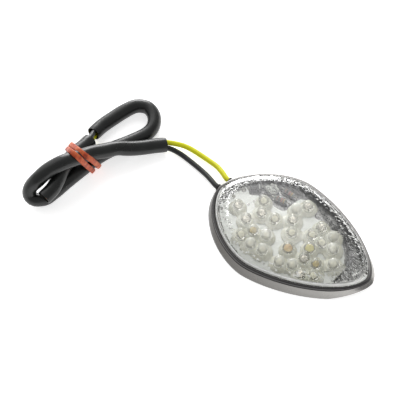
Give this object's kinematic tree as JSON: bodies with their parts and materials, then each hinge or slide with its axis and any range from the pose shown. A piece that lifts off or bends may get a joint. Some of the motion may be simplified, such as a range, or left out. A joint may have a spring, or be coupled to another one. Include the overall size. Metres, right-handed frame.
{
  "type": "turn signal indicator",
  "caption": "Flush-mount leaf-shaped turn signal with a clear domed lens over a bed of round LEDs, and a two-core sleeved lead folded in a rubber band.",
  "frame": {"origin": "centre of the housing's flat back, in the plane that it rests on", "axes": "+X from the blunt end, where the leads leave, to the pointed tip; +Z out through the lens; +Y to the left looking towards the tip"},
  "size_m": [0.1532, 0.0848, 0.023],
  "materials": {
    "smoke_chrome": "smoke-chrome plated ABS, glossy, moulded",
    "clear_polycarbonate": "clear moulded polycarbonate, polished, with fine flutes inside its edge",
    "clear_glue": "clear hot-melt glue, smooth, with bubbles",
    "adhesive_foam": "double-sided foam tape, matt",
    "white_board": "white solder mask on glass-fibre laminate",
    "milky_resin": "milky sealing resin, satin",
    "led_epoxy": "water-clear cast epoxy, polished",
    "resistor_lacquer": null,
    "black_epoxy": "moulded black epoxy with one pale band",
    "solder": "tin solder, bright",
    "black_rubber": "soft black rubber bush, satin",
    "black_pvc": "extruded black PVC insulation, satin",
    "yellow_pvc": "extruded yellow PVC insulation, satin",
    "sleeve_pvc": "thin soft black PVC sleeving, satin sheen",
    "red_rubber": "orange-red natural rubber band, matt"
  },
  "bodies": {
    "root": {"housing_tray": "smoke_chrome", "lens_cover": "clear_polycarbonate", "lens_adhesive": "clear_glue", "adhesive_pad": "adhesive_foam", "circuit_board": "white_board", "potting_resin": "milky_resin", "led_01": "led_epoxy", "led_02": "led_epoxy", "led_03": "led_epoxy", "led_04": "led_epoxy", "led_05": "led_epoxy", "led_06": "led_epoxy", "led_07": "led_epoxy", "led_08": "led_epoxy", "led_09": "led_epoxy", "led_10": "led_epoxy", "led_11": "led_epoxy", "led_12": "led_epoxy", "led_13": "led_epoxy", "led_14": "led_epoxy", "led_15": "led_epoxy", "led_16": "led_epoxy", "led_17": "led_epoxy", "led_18": "led_epoxy", "led_19": "led_epoxy", "led_20": "led_epoxy", "led_21": "led_epoxy", "led_22": "led_epoxy", "led_23": "led_epoxy", "led_24": "led_epoxy", "led_25": "led_epoxy", "led_26": "led_epoxy", "led_27": "led_epoxy", "led_28": "led_epoxy", "resistor_1": "resistor_lacquer", "resistor_2": "resistor_lacquer", "reverse_diode": "black_epoxy", "glue_bead": "clear_glue", "solder_joint_black": "solder", "solder_joint_yellow": "solder", "wire_bush_black": "black_rubber", "wire_bush_yellow": "black_rubber", "black_wire": "black_pvc", "yellow_wire": "yellow_pvc", "sleeve_long": "sleeve_pvc", "sleeve_short": "sleeve_pvc", "tie_band": "red_rubber"}
  },
  "joints": []
}
